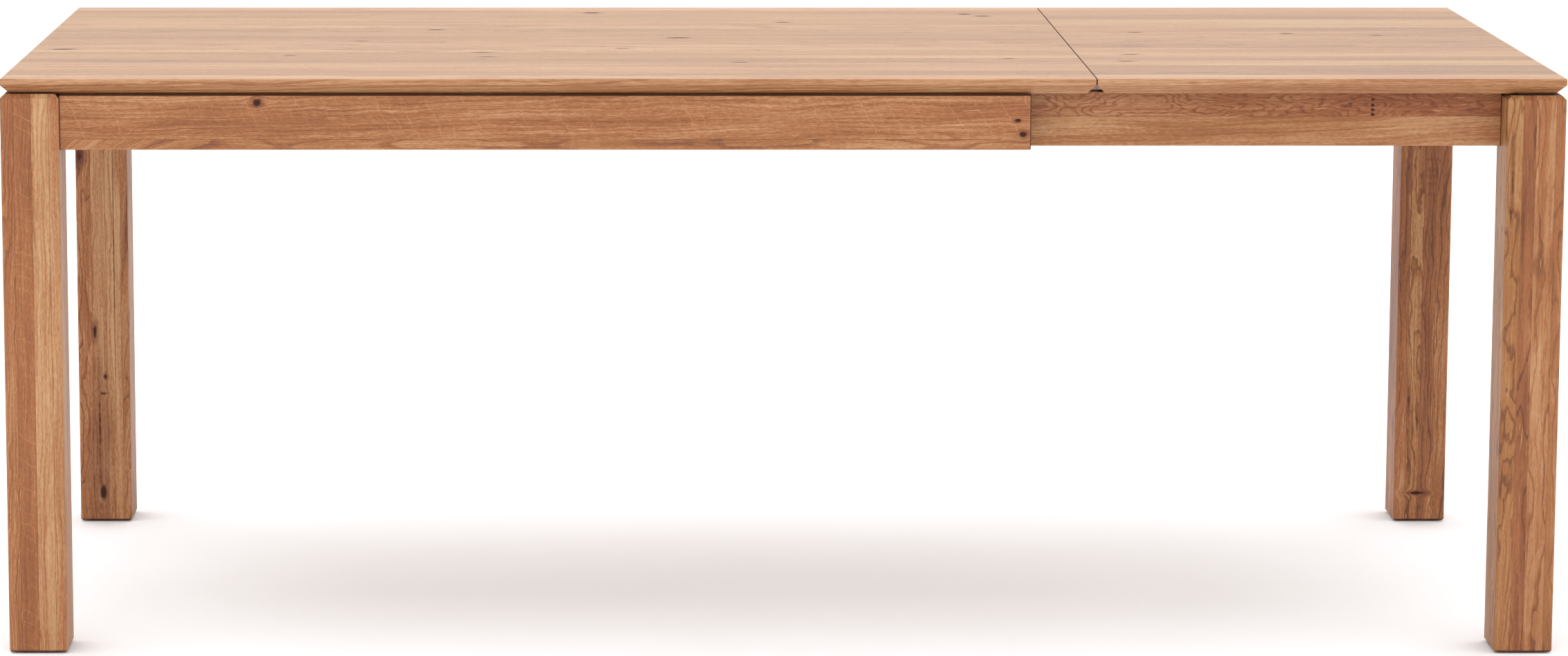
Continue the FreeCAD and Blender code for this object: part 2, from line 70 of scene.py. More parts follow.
# ---------------------------------------------------------------- shader helper
class Shader:
    """A node material, with short calls for the nodes that the finishes use."""

    def __init__(self, name):
        self.material = bpy.data.materials.new(name)
        self.material.use_nodes = True
        self.tree = self.material.node_tree
        self.tree.nodes.clear()
        coordinates = self.new("ShaderNodeTexCoord")
        self.place, self.facing = coordinates.outputs["Object"], coordinates.outputs["Normal"]

    def new(self, kind, **settings):
        node = self.tree.nodes.new(kind)
        for key, value in settings.items():
            setattr(node, key, value)
        return node

    def put(self, socket, value):
        """Links a socket, or sets it to a plain value."""
        if isinstance(value, bpy.types.NodeSocket):
            self.tree.links.new(value, socket)
        else:
            socket.default_value = value

    def math(self, operation, a, b=0.0, c=0.0, clamp=False):
        node = self.new("ShaderNodeMath", operation=operation, use_clamp=clamp)
        for socket, value in zip(node.inputs, (a, b, c)):
            self.put(socket, value)
        return node.outputs[0]

    def add(self, *values):
        total = values[0]
        for value in values[1:]:
            total = self.math("ADD", total, value)
        return total

    def times(self, a, b):
        return self.math("MULTIPLY", a, b)

    def minus(self, a, b):
        return self.math("SUBTRACT", a, b)

    def over(self, a, b):
        return self.math("DIVIDE", a, b)

    def larger(self, a, b):
        return self.math("MAXIMUM", a, b)

    def smaller(self, a, b):
        return self.math("MINIMUM", a, b)

    def size(self, value):
        return self.math("ABSOLUTE", value)

    def line(self, value, gain, base):
        return self.math("MULTIPLY_ADD", value, gain, base)

    def swing(self, share, size):
        """A share from 0 to 1, turned into a value from minus half the size to plus half of it."""
        return self.times(self.minus(share, 0.5), size)

    def step_value(self, value):
        """A random number from 0 to 1 for each whole step of a value."""
        node = self.new("ShaderNodeTexWhiteNoise", noise_dimensions="1D")
        self.put(node.inputs["W"], self.math("FLOOR", value))
        return node.outputs[0]

    def split(self, vector):
        node = self.new("ShaderNodeSeparateXYZ")
        self.put(node.inputs[0], vector)
        return node.outputs[:3]

    def join(self, x, y, z):
        node = self.new("ShaderNodeCombineXYZ")
        for socket, value in zip(node.inputs, (x, y, z)):
            self.put(socket, value)
        return node.outputs[0]

    def stretch(self, parts, scales, shift=0.0):
        """A vector of coordinates, each times its own scale, all moved by one shift."""
        return self.join(*[self.line(part, scale, shift) for part, scale in zip(parts, scales)])

    def noise(self, vector, scale=1.0, detail=2.0, roughness=0.5):
        node = self.new("ShaderNodeTexNoise", noise_dimensions="3D")
        self.put(node.inputs["Vector"], vector)
        self.put(node.inputs["Scale"], scale)
        self.put(node.inputs["Detail"], detail)
        self.put(node.inputs["Roughness"], roughness)
        return node.outputs[0]

    def smooth(self, value, low, high, to_low=0.0, to_high=1.0):
        node = self.new("ShaderNodeMapRange", interpolation_type="SMOOTHSTEP")
        for socket, item in zip(node.inputs, (value, low, high, to_low, to_high)):
            self.put(socket, item)
        return node.outputs[0]

    def ramp(self, factor, stops, interpolation="LINEAR"):
        node = self.new("ShaderNodeValToRGB")
        ramp = node.color_ramp
        ramp.interpolation = interpolation
        while len(ramp.elements) < len(stops):
            ramp.elements.new(1.0)
        for element, (position, colour) in zip(ramp.elements, stops):
            element.position = position
            element.color = (*colour, 1.0)
        self.put(node.inputs[0], factor)
        return node.outputs[0]

    def mix(self, factor, a, b, blend="MIX"):
        node = self.new("ShaderNodeMix", data_type="RGBA", blend_type=blend)
        for index, value in ((0, factor), (6, a), (7, b)):
            if isinstance(value, tuple) and len(value) == 3:
                value = (*value, 1.0)
            self.put(node.inputs[index], value)
        return node.outputs[2]

    def bump(self, height, distance, strength=1.0):
        node = self.new("ShaderNodeBump")
        self.put(node.inputs["Height"], height)
        self.put(node.inputs["Distance"], distance)
        self.put(node.inputs["Strength"], strength)
        return node.outputs[0]

    def surface(self, colour, roughness, normal=None, **fixed):
        """Ends the tree in one principled shader; fixed values sit on its own sockets."""
        shader = self.new("ShaderNodeBsdfPrincipled")
        self.put(shader.inputs["Base Color"], colour)
        self.put(shader.inputs["Roughness"], roughness)
        if normal is not None:
            self.put(shader.inputs["Normal"], normal)
        for key, value in fixed.items():
            self.put(shader.inputs[key.replace("_", " ")], value)
        output = self.new("ShaderNodeOutputMaterial")
        self.tree.links.new(shader.outputs[0], output.inputs[0])
        return self.material


# ---------------------------------------------------------------- oak: colours and measures
def tint(red, green, blue):
    """The linear colour of an 8-bit screen colour."""
    return tuple(((c / 255.0 + 0.055) / 1.055) ** 2.4 for c in (red, green, blue))


DARK_GRAIN = tint(98, 54, 31)
MID_GRAIN = tint(147, 93, 54)
PALE_GRAIN = tint(184, 146, 108)
RED_WOOD = tint(240, 216, 208)
YELLOW_WOOD = tint(241, 248, 224)
END_GRAIN = tint(196, 178, 166)
KNOT_HEART = tint(46, 16, 6)
KNOT_HALO = tint(96, 48, 28)
RAY_COLOUR = tint(188, 142, 100)
GLUE_LINE = tint(80, 44, 26)
# the colour of the painted shade deep in gaps and at joints
PAINTED_SHADE = tint(70, 28, 13)

# A stave ends at a share of the piece's width.  Its tone goes from dark (-1) to pale (1), red from
# yellowish (-1) to reddish (1), figure from straight (0) to curly (1), and ray says how strongly pale
# ray lines cross it.  Slant and swerve turn its grain.
Stave = namedtuple("Stave", "end tone red slant figure ray swerve", defaults=(0.0,) * 6)
# What the stave at one point is like, as sockets.  Tone, red, slant and swerve are shares from 0 to
# 1, centre is the share of the width where its middle lies, and pith and chance are random.
Here = namedtuple("Here", "centre tone red pith slant figure ray swerve chance")
# How one piece looks.  Burr is how much the rings curl, rings their number in a metre, fine how
# strong the fibres are, and fall the share of a ring over which its dark side fades.  Length draws the
# grain out.  The swerve is where slanting grain begins and has straightened out, along the piece.
# Ends is how dark the painted shade at the joints at the two ends is, and joint how wide it is.
Look = namedtuple("Look", "tone contrast burr rings fine fall gloss rough length swerve ends joint",
                  defaults=(0.0, 1.0, 0.3, 190.0, 1.0, 0.55, 0.34, 0.50, 1.0, (0.0, 1.0), (0.0, 0.0),
                            2.0 * MM))

# Noise that follows the grain: features in a metre along it and across it, detail, roughness, and
# whether a piece's length draws it out.
Noise = namedtuple("Noise", "along across detail roughness drawn_out", defaults=(True,))
SLOW = Noise(2.2, 11.0, 2.0, 0.5)
SWAY = Noise(7.0, 22.0, 2.0, 0.5)
QUICK = Noise(16.0, 60.0, 3.0, 0.55)
FIBRE = Noise(150.0, 620.0, 2.0, 0.6)
STRAND = Noise(9.0, 270.0, 3.0, 0.6)
HAIR = Noise(7.0, 850.0, 2.0, 0.6)
STREAK = Noise(2.6, 85.0, 3.0, 0.55)
CLOUD = Noise(4.0, 18.0, 4.0, 0.6)
HUE = Noise(1.4, 9.0, 3.0, 0.5, False)
PORES = Noise(110.0, 1700.0, 1.0, 0.5, False)
SPINDLES = Noise(26.0, 560.0, 1.0, 0.5, False)
PIECE_SHIFT, STAVE_SHIFT = 1.37, 7.0  # so that no two pieces or staves share their noise

# Pairs of a gain and a base, for Shader.line.
PITH_ASIDE = (-0.13, 0.16)  # how far aside a pith may lie, in metres, from the figure
PITH_SLANT = (0.06, -0.03)  # how it slants through the piece, from its random number
SHORT_CURL = (0.024, 0.002)  # how far the quick noise moves the rings, in metres, from the figure
RING_STRENGTH = (0.9, 0.3)  # from a random number for each ring
RING_WEIGHT = (-0.32, -0.05)  # what a ring does to the shade, from the figure

# Where the grain and the rings run, in metres.
WANDER = (0.026, 0.012, 0.0016)  # what the slow, sway and quick noises move the grain aside by
PITH_DEPTH = 0.028
LONG_CURL = 0.08  # how far the sway moves curly rings
DRIFT = (0.045, 0.014)  # what the slow noise and the sway add to a ring's radius
KNOT_DEPTH = 30 * MM
GLUE_WIDTH = (0.1 * MM, 0.6 * MM)  # from dark to clear, on each side of a glue line
EDGE_WIDTH = (0.8 * MM, 3.5 * MM)  # from worn to plain
GAP_DISTANCE = 12 * MM
RAYS_PER_METRE, RAY_SLANT, RAY_WAVER = 62.0, 0.5, 0.02

# How strongly each thing shows.
RING_RISE, RING_FALL = (0.0, 0.08), 0.10  # shares of a ring where its dark side sets in and fades
RAY_WIDTH = 0.07
SHADOW_MARK = 1.5  # marks of this faintness or more don't bend the grain
KNOT_BEND, KNOT_REACH = -0.85, -0.18
FINE_WEIGHTS = (0.75, 0.70, 0.45)  # fibre, hair and strand in the shade
BROAD_WEIGHTS = (0.60, 0.85)  # streak and cloud in the shade
TONE_WEIGHT = 0.9
STAVE_RED, HUE_RED, RED_REACH = 1.8, 1.6, 0.9
RELIEF = (0.35, -1.0, -0.25, -0.7)  # fibre, pore, ring and glue line in the bump
RELIEF_DEPTH, RELIEF_STRENGTH = 0.12 * MM, 0.4
DULLNESS = (0.12, 0.25, -0.04, 0.4)  # fibre, pore, worn edge, and painted gap shade or knot
FLECK_MIX, PORE_MIX, GLUE_MIX, WORN_MIX = 0.50, 0.40, 0.45, 0.18
RAGGED_QUICK, RAGGED_FIBRE = 2.2, 1.0  # what the two noises do to a knot's outline
GAP_DARKNESS = 0.9
JOINT_CORE = 0.4  # share of a joint's width that is fully dark with painted shade

# Smooth steps, for Shader.smooth: from, to, and the values there if they aren't 0 and 1.
PORE_STEP = (0.55, 0.68)
SPINDLE_STEP = (0.66, 0.74)
FLECK_PATCHES = (0.48, 0.60, 0.1, 1.4)
RAY_PATCHES = (0.40, 0.56, 0.1, 1.0)
WORN_PATCHES = (0.40, 0.62, 0.15, 1.0)
HEART_STEP = (0.5, 1.8, 0.97, 0.0)
HALO_STEP = (0.8, 6.0, 0.60, 0.0)
PIT_STEP = (0.3, 1.4, -1.8, 0.0)
END_GRAIN_STEP = (0.6, 0.9, 0.0, 0.55)
GAP_STEP = (0.30, 0.52, 1.0, 0.0)


def some_staves(count, seed, tone):
    """Yellowish staves of uneven width, each with its own tone and cut; the two outer ones are paler."""
    chance = random.Random(seed)
    widths = [chance.uniform(0.75, 1.3) for _ in range(count)]
    ends = [sum(widths[:i + 1]) / sum(widths) for i in range(count)]
    staves = [Stave(end, tone=chance.uniform(-tone, tone), red=chance.uniform(-0.9, -0.45),
                    slant=chance.uniform(-0.02, 0.02), figure=chance.choice((0.1, 0.25, 0.8)),
                    ray=chance.choice((0.0, 0.2, 0.7))) for end in ends]
    for outer in (0, -1):
        staves[outer] = staves[outer]._replace(tone=0.32, red=-0.1, ray=0.0)
    return staves


def as_share(value):
    """A value from -1 to 1 as a share from 0 to 1, which a colour ramp can hold."""
    return value / 2 + 0.5


def stave_values(s, across, low, high, staves, seed):
    """What the stave at a point is like, and how near its glue line is."""
    chance = random.Random(seed)
    share = s.math("DIVIDE", s.minus(across, low), high - low, clamp=True)
    starts = [0.0] + [stave.end for stave in staves[:-1]]
    rows = ([((start + stave.end) / 2, as_share(stave.tone), as_share(stave.red))
             for start, stave in zip(starts, staves)],
            [(chance.random(), as_share(stave.slant), stave.figure) for stave in staves],
            [(stave.ray, as_share(stave.swerve), chance.random()) for stave in staves])
    values = []
    for row in rows:
        parts = s.new("ShaderNodeSeparateColor")
        s.put(parts.inputs[0], s.ramp(share, list(zip(starts, row)), "CONSTANT"))
        values += list(parts.outputs[:3])
    glue = 0.0
    for start in starts[1:]:
        off = s.minus(across, low + start * (high - low))
        glue = s.larger(glue, s.smooth(s.size(off), *GLUE_WIDTH, 1.0, 0.0))
    return Here(*values), glue


def knot_field(s, along, across, deep, knots):
    """How far a point is from the nearest knot, in knot radii squared, and how it bends the grain.

    Knots are (along, across, half length, half width, faintness).  Deep is how far the point lies
    behind the face that shows the knots, which fade out below it.
    """
    nearest, bend = 1000.0, 0.0
    for knot_along, knot_across, half_length, half_width, faintness in knots:
        along_share = s.over(s.minus(along, knot_along), half_length)
        off = s.minus(across, knot_across)
        across_share = s.over(off, half_width)
        far = s.add(s.times(along_share, along_share), s.times(across_share, across_share))
        nearest = s.smaller(nearest, s.add(far, faintness))
        if faintness < SHADOW_MARK:
            near = s.math("EXPONENT", s.times(far, KNOT_REACH))
            bend = s.add(bend, s.times(s.times(off, KNOT_BEND), near))
    below = s.over(deep, KNOT_DEPTH)
    return s.add(nearest, s.times(below, below)), bend


def edge_nearness(s, place, low, high):
    """1 along the edges of a box, 0 on its faces."""
    gaps = [s.smaller(s.size(s.minus(p, a)), s.size(s.minus(p, b))) for p, a, b in zip(place, low, high)]
    small, large = s.smaller(gaps[0], gaps[1]), s.larger(gaps[0], gaps[1])
    second = s.larger(small, s.smaller(large, gaps[2]))
    return s.smooth(second, *EDGE_WIDTH, 1.0, 0.0)


def ray_lines(s, along, across, quick, patch):
    """Thin pale lines that cross a quarter-sawn stave at a slant, some strong and some faint."""
    slanted = s.add(along, s.times(across, RAY_SLANT), s.swing(quick, RAY_WAVER))
    turns = s.times(slanted, RAYS_PER_METRE)
    line = s.smooth(s.size(s.minus(s.math("FRACT", turns), 0.5)), 0.0, RAY_WIDTH, 1.0, 0.0)
    return s.times(s.times(line, s.step_value(turns)), s.smooth(patch, *RAY_PATCHES))


class Grain:
    """The coordinates that a piece's grain follows: along it, across from a stave's middle, and through."""

    def __init__(self, s, along, across, through, length, shift):
        self.s, self.along, self.across, self.through = s, along, across, through
        self.length, self.shift = length, shift
        noises = [self.noise(kind) for kind in (SLOW, SWAY, QUICK)]
        self.slow, self.sway, self.quick = noises
        self.across = s.add(self.across, *[s.swing(noise, size) for noise, size in zip(noises, WANDER)])

    def noise(self, kind):
        length = self.length if kind.drawn_out else 1.0
        scales = (kind.along / length, kind.across, kind.across)
        place = self.s.stretch((self.along, self.across, self.through), scales, self.shift)
        return self.s.noise(place, 1.0, kind.detail, kind.roughness)


def bent_across(s, along, off, run, here, swerve):
    """How far a point lies from its stave's middle, once slanting grain is followed."""
    slanting, straight = swerve
    left = s.larger(s.over(s.minus(straight, along), straight - slanting), 0.0)
    curve = s.times(s.times(left, left), s.swing(here.swerve, straight - slanting))
    return s.add(off, curve, s.times(run, s.swing(here.slant, -2.0)))


def ring_shade(s, grain, run, here, look):
    """The dark sides of growth rings round a pith that runs at a slant to the piece."""
    side = s.add(grain.across, s.swing(here.pith, s.line(here.figure, *PITH_ASIDE)))
    depth = s.add(grain.through, s.times(run, s.line(here.pith, *PITH_SLANT)), PITH_DEPTH)
    gain, base = SHORT_CURL
    curl = s.add(s.swing(grain.quick, s.line(here.figure, gain * look.burr, base)),
                 s.swing(grain.sway, s.times(here.figure, LONG_CURL * look.burr)))
    drift = s.times(s.add(s.times(grain.slow, DRIFT[0]), s.times(grain.sway, DRIFT[1])), here.figure)
    radius = s.add(s.math("SQRT", s.add(s.times(side, side), s.times(depth, depth))), curl, drift)
    turns = s.times(radius, look.rings)
    saw = s.math("FRACT", turns)
    dark = s.times(s.smooth(saw, *RING_RISE), s.smooth(saw, RING_FALL, look.fall, 1.0, 0.0))
    return s.times(dark, s.line(s.step_value(turns), *RING_STRENGTH))


def paint_gap_shade(s, along, low, high, look):
    """Painted shade: how dark a point is painted because it lies deep in a narrow gap, or at a joint at
    either end.
    """
    gap = s.new("ShaderNodeAmbientOcclusion", samples=8)
    s.put(gap.inputs["Distance"], GAP_DISTANCE)
    gap_shade = s.times(s.smooth(gap.outputs["AO"], *GAP_STEP), GAP_DARKNESS)
    for dark, near in zip(look.ends, (s.minus(along, low), s.minus(high, along))):
        if dark:
            gap_shade = s.larger(gap_shade, s.smooth(near, JOINT_CORE * look.joint, look.joint, dark, 0.0))
    return gap_shade


def dress(node, material):
    """Gives a carried node its finish."""
    mesh = frame["nodes"][node].data
    for index in range(len(mesh.materials)):
        mesh.materials[index] = material


def dress_in_oak(node, axes, staves, seed, knots=(), **choices):
    """Gives a node its own oiled knotty oak.

    Axes name the grain's direction, the way across the staves and the way through them.
    """
    look = Look(**choices)
    s = Shader(node + "_oak")
    place = s.split(s.place)
    box_low, box_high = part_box(node)
    order = ["XYZ".index(axis) for axis in axes]
    along, across, through = (place[i] for i in order)
    low, high = ([corner[i] for i in order] for corner in (box_low, box_high))
    here, glue = stave_values(s, across, low[1], high[1], staves, seed)
    shown_face = high[2] if axes == "XYZ" else low[2]
    nearest, bend = knot_field(s, along, across, s.minus(through, shown_face), knots)

    # the grain's own coordinates
    run = s.minus(along, (low[0] + high[0]) / 2)
    off = s.minus(s.minus(across, low[1]), s.times(here.centre, high[1] - low[1]))
    off = bent_across(s, along, s.add(off, bend), run, here, look.swerve)
    grain = Grain(s, along, off, s.minus(through, (low[2] + high[2]) / 2), look.length,
                  s.line(here.chance, STAVE_SHIFT, seed * PIECE_SHIFT))

    # rings, fibres, pores, flecks of the rays and clouds of tone
    ring = ring_shade(s, grain, run, here, look)
    fibre, strand, hair = (grain.noise(kind) for kind in (FIBRE, STRAND, HAIR))
    streak, cloud = grain.noise(STREAK), grain.noise(CLOUD)
    pore = s.times(s.smooth(grain.noise(PORES), *PORE_STEP), s.line(ring, 0.8, 0.2))
    spindle = s.smooth(grain.noise(SPINDLES), *SPINDLE_STEP)
    fleck = s.add(s.times(spindle, s.smooth(grain.quick, *FLECK_PATCHES)),
                  s.times(ray_lines(s, along, grain.across, grain.quick, cloud), here.ray))

    # colour
    fine = [s.swing(noise, weight * look.fine)
            for noise, weight in zip((fibre, hair, strand), FINE_WEIGHTS)]
    broad = [s.swing(noise, weight) for noise, weight in zip((streak, cloud), BROAD_WEIGHTS)]
    figure = s.add(*fine, *broad, s.times(ring, s.line(here.figure, *RING_WEIGHT)))
    shade = s.add(0.5 + look.tone, s.times(figure, look.contrast), s.swing(here.tone, TONE_WEIGHT))
    colour = s.ramp(shade, [(0.0, DARK_GRAIN), (0.5, MID_GRAIN), (1.0, PALE_GRAIN)])
    red = s.add(s.swing(here.red, STAVE_RED), s.swing(grain.noise(HUE), HUE_RED))
    colour = s.mix(s.smooth(red, 0.0, RED_REACH, 0.0, 0.9), colour, RED_WOOD, "MULTIPLY")
    colour = s.mix(s.smooth(red, -RED_REACH, 0.0, 0.9, 0.0), colour, YELLOW_WOOD, "MULTIPLY")
    for mark, share, mark_colour in ((fleck, FLECK_MIX, RAY_COLOUR), (pore, PORE_MIX, DARK_GRAIN),
                                     (glue, GLUE_MIX, GLUE_LINE)):
        colour = s.mix(s.times(mark, share), colour, mark_colour)

    # relief, knots, worn edges, end grain, and painted shade in gaps and at joints
    height = s.add(*[s.times(part, size) for part, size in zip((fibre, pore, ring, glue), RELIEF)])
    gap_shade = paint_gap_shade(s, along, low[0], high[0], look)
    heart = 0.0
    if knots:
        ragged = s.add(nearest, s.swing(grain.quick, RAGGED_QUICK), s.swing(fibre, RAGGED_FIBRE))
        heart = s.smooth(ragged, *HEART_STEP)
        colour = s.mix(s.smooth(ragged, *HALO_STEP), colour, KNOT_HALO)
        colour = s.mix(heart, colour, KNOT_HEART)
        height = s.add(height, s.smooth(ragged, *PIT_STEP))
    worn = s.times(edge_nearness(s, place, box_low, box_high), s.smooth(cloud, *WORN_PATCHES))
    colour = s.mix(s.times(worn, WORN_MIX), colour, RAY_COLOUR)
    facing_end = s.smooth(s.size(s.split(s.facing)[order[0]]), *END_GRAIN_STEP)
    colour = s.mix(facing_end, colour, END_GRAIN, "MULTIPLY")
    # painted shade in gaps and at the joints at the ends
    colour = s.mix(gap_shade, colour, PAINTED_SHADE)
    dull = (s.minus(fibre, 0.5), pore, worn, s.larger(gap_shade, heart))
    rough = s.add(look.rough, *[s.times(part, size) for part, size in zip(dull, DULLNESS)])
    normal = s.bump(height, RELIEF_DEPTH, RELIEF_STRENGTH)
    dress(node, s.surface(colour, rough, normal, Specular_IOR_Level=look.gloss))


# ---------------------------------------------------------------- oak: the pieces
def faint(faintness, marks):
    """Knots or cracks of one faintness; 0 is as dark as they get."""
    return [(*mark, faintness) for mark in marks]


TOP_MARKS = faint(0.0, [
    (-0.957, -0.106, 0.015, 0.0043), (-0.393, -0.144, 0.014, 0.0029), (-0.250, 0.370, 0.011, 0.0058),
    (0.022, 0.240, 0.010, 0.0038), (-0.129, 0.035, 0.013, 0.0038), (0.305, -0.219, 0.007, 0.0026),
    (-0.205, -0.098, 0.009, 0.0026), (-0.051, -0.263, 0.009, 0.0023), (0.287, 0.353, 0.007, 0.0041),
    (0.311, 0.326, 0.009, 0.0038), (-0.466, 0.140, 0.009, 0.0038), (-0.384, -0.197, 0.011, 0.0023),
    (-0.647, -0.182, 0.007, 0.0020), (-0.564, -0.005, 0.010, 0.0023)])
LEAF_MARKS = faint(0.0, [
    (0.471, -0.167, 0.011, 0.0032), (0.457, -0.248, 0.009, 0.0026), (0.715, 0.091, 0.009, 0.0035),
    (0.506, 0.107, 0.008, 0.0029), (0.836, 0.067, 0.009, 0.0026)])
APRON_MARKS = faint(0.0, [
    (-0.672, 0.719, 0.0055, 0.0045), (0.300, 0.696, 0.0036, 0.0020), (0.307, 0.678, 0.0042, 0.0032)])
FOUR_HOLES = faint(0.0, [(0.759, z, 0.0016, 0.0013) for z in (0.699, 0.705, 0.711, 0.718)])

LEG_STAVES = {
    "leg_front_left": [Stave(0.22, -0.12, 0.1, 0.02, 0.9), Stave(0.52, -0.30, 0.5, 0.0, 0.1, 0.9),
                       Stave(0.82, 0.42, -0.1, 0.01, 0.3), Stave(1.0, 0.24, 0.3, 0.0, 0.2)],
    "leg_back_left": [Stave(0.28, -0.05, 0.4, 0.0, 0.9), Stave(0.56, 0.05, 0.1, 0.0, 0.3, 0.3),
                      Stave(0.86, 0.26, -0.2, 0.0, 0.3), Stave(1.0, 0.0, 0.3, 0.12, 0.6)],
    "leg_front_right": [Stave(0.27, 0.18, -0.3, 0.03, 0.9), Stave(0.49, -0.18, 0.4, 0.0, 0.9),
                        Stave(0.83, 0.14, 0.1, 0.02, 0.9), Stave(1.0, 0.0, 0.2, 0.0, 0.6)],
    "leg_back_right": [Stave(0.22, -0.05, 0.3, 0.0, 0.4), Stave(0.47, 0.02, -0.4, 0.0, 0.9),
                       Stave(0.73, -0.30, 0.2, 0.01, 0.7), Stave(1.0, -0.02, 0.35, 0.03, 0.7)]}
LEG_MARKS = {
    "leg_front_left": [],
    "leg_back_left": faint(0.5, [(0.283, -0.975, 0.012, 0.0034), (0.216, -0.961, 0.004, 0.0026),
                                 (0.191, -0.965, 0.0022, 0.0055), (0.043, -0.966, 0.012, 0.0050)])
    + faint(0.9, [(0.541, -0.994, 0.012, 0.0070), (0.125, -0.970, 0.085, 0.0022),
                  (0.400, -0.946, 0.160, 0.0006)])
    + faint(2.2, [(0.080, -0.968, 0.120, 0.0130)]),
    "leg_front_right": faint(1.0, [(0.620, 0.933, 0.040, 0.0016), (0.575, 0.932, 0.008, 0.0012)])
    + faint(1.8, [(0.150, 0.958, 0.060, 0.0022), (0.045, 0.953, 0.045, 0.0030),
                  (0.330, 0.957, 0.060, 0.0018)]),
    "leg_back_right": faint(0.2, [(0.043, 0.960, 0.0022, 0.0100)])
    + faint(2.4, [(z, 0.970, 0.0022, 0.0060) for z in (0.536, 0.521, 0.512, 0.500, 0.484)])
    + faint(0.9, [(0.150, 0.957, 0.014, 0.0012), (0.180, 0.944, 0.016, 0.0018)])}
LEG_LOOKS = {
    "leg_front_left": dict(tone=0.04, contrast=0.8),
    "leg_back_left": dict(tone=0.04, contrast=1.2, burr=0.9, rings=110.0, fine=0.8, fall=0.4),
    "leg_front_right": dict(tone=0.01, contrast=1.05, burr=0.9, rings=85.0, fine=0.5, fall=0.4),
    "leg_back_right": dict(tone=-0.02, contrast=1.25, burr=0.8, rings=110.0, fine=0.7, fall=0.4)}
# Aprons and rails that the photo doesn't show: their axes, and the lower stave's share.
PLAIN_RAILS = (
    ("outer_apron_back", "XZY", 0.60), ("inner_apron_back", "XZY", 0.40),
    ("end_apron_left", "YZX", 0.45), ("end_apron_right", "YZX", 0.62),
    ("cross_rail_inner_end", "YZX", 0.50), ("cross_rail_middle", "YZX", 0.35))


def top_and_leaf():
    # Ends paint shade along the seam between the top and the leaf.
    both = dict(length=2.2, rough=0.39, gloss=0.5, joint=1.4 * MM)
    dress_in_oak("main_top", "XYZ", some_staves(19, 3, 0.26), 3, TOP_MARKS, tone=0.05, contrast=0.75,
                 ends=(0.0, 0.95), **both)
    dress_in_oak("leaf", "XYZ", some_staves(18, 8, 0.34), 8, LEAF_MARKS, tone=0.03, contrast=0.9,
                 ends=(0.95, 0.0), **both)


def legs():
    for seed, node in enumerate(LEG_STAVES, 20):
        dress_in_oak(node, "ZXY", LEG_STAVES[node], seed, LEG_MARKS[node], **LEG_LOOKS[node])


def aprons_and_rails():
    """Each is glued up from two staves, the lower one first."""
    # Ends paint shade into the joints at the pieces' ends.
    dress_in_oak("outer_apron_front", "XZY",
                 [Stave(0.19, 0.05, 0.0, 0.0, 0.9, 0.0, 0.9), Stave(1.0, 0.0, 0.15, 0.03, 0.35, 0.8)], 40,
                 APRON_MARKS, tone=0.02, contrast=0.9, burr=0.1, swerve=(-0.925, -0.72), ends=(0.9, 0.9))
    dress_in_oak("inner_apron_front", "XZY",
                 [Stave(0.55, 0.05, 0.0, 0.04, 0.1), Stave(1.0, 0.03, 0.8, 0.02, 0.8)], 44,
                 FOUR_HOLES, tone=0.07, contrast=1.15, burr=1.3, rings=200.0, fine=0.7, ends=(0.0, 0.9))
    for seed, (node, axes, share) in enumerate(PLAIN_RAILS, 50):
        staves = [Stave(share, 0.1, -0.1, 0.03, 0.3), Stave(1.0, -0.1, 0.2, -0.02, 0.7, 0.2)]
        dress_in_oak(node, axes, staves, seed, contrast=1.1, ends=(0.7, 0.7))


def corner_blocks():
    nodes = sorted(node for node in frame["nodes"] if node.startswith("corner_block"))
    for seed, node in enumerate(nodes, 60):
        dress_in_oak(node, "ZXY", [Stave(1.0, 0.1, 0.0, 0.05, 0.5)], seed)


# ---------------------------------------------------------------- other finishes
# A mottled metal: the noise's scale, detail and roughness, its two colours, the shader's roughness
# (least, and what the noise adds) and the depth of its relief in mm.
Metal = namedtuple("Metal", "scale detail spread dark pale rough rougher relief")
METALS = {
    "screw_steel": Metal(700.0, 3.0, 0.6, (0.58, 0.47, 0.27), (0.72, 0.64, 0.45), 0.26, 0.22, 0.03),
    "bolt_steel": Metal(420.0, 3.0, 0.6, (0.50, 0.52, 0.55), (0.66, 0.67, 0.68), 0.30, 0.20, 0.04),
    "ball_steel": Metal(900.0, 2.0, 0.5, (0.62, 0.60, 0.56), (0.78, 0.77, 0.75), 0.08, 0.14, 0.0)}
ZINC_PLATE, ZINC_BAR = (0.62, 0.63, 0.64), (0.58, 0.59, 0.60)
FELT_COLOURS = ((0.045, 0.028, 0.018), (0.19, 0.13, 0.09))
PLASTIC_COLOURS = ((0.035, 0.026, 0.020), (0.085, 0.066, 0.052))
BEECH_COLOURS = ((0.42, 0.26, 0.16), (0.60, 0.42, 0.28))
# What sheet steel, felt and beech dress; small hardware gets its finish with its detailed piece.
SHEET_STEEL = ("guide_channel_front", "guide_channel_back", "guide_runner_front", "guide_runner_back",
               "guide_stops", "ball_cage_front", "ball_cage_back", "top_angle_brackets")
STEEL_BARS = ("top_stiffener_bars", "leaf_stiffener_bars")
DOWELS = ("apron_dowels_left", "frame_dowels_right")


def mottled_metal(name):
    metal = METALS[name]
    s = Shader(name)
    bloom = s.noise(s.place, metal.scale, metal.detail, metal.spread)
    colour = s.ramp(bloom, [(0.3, metal.dark), (0.7, metal.pale)])
    normal = s.bump(bloom, metal.relief * MM, 0.5) if metal.relief else None
    return s.surface(colour, s.add(metal.rough, s.times(bloom, metal.rougher)), normal, Metallic=1.0)


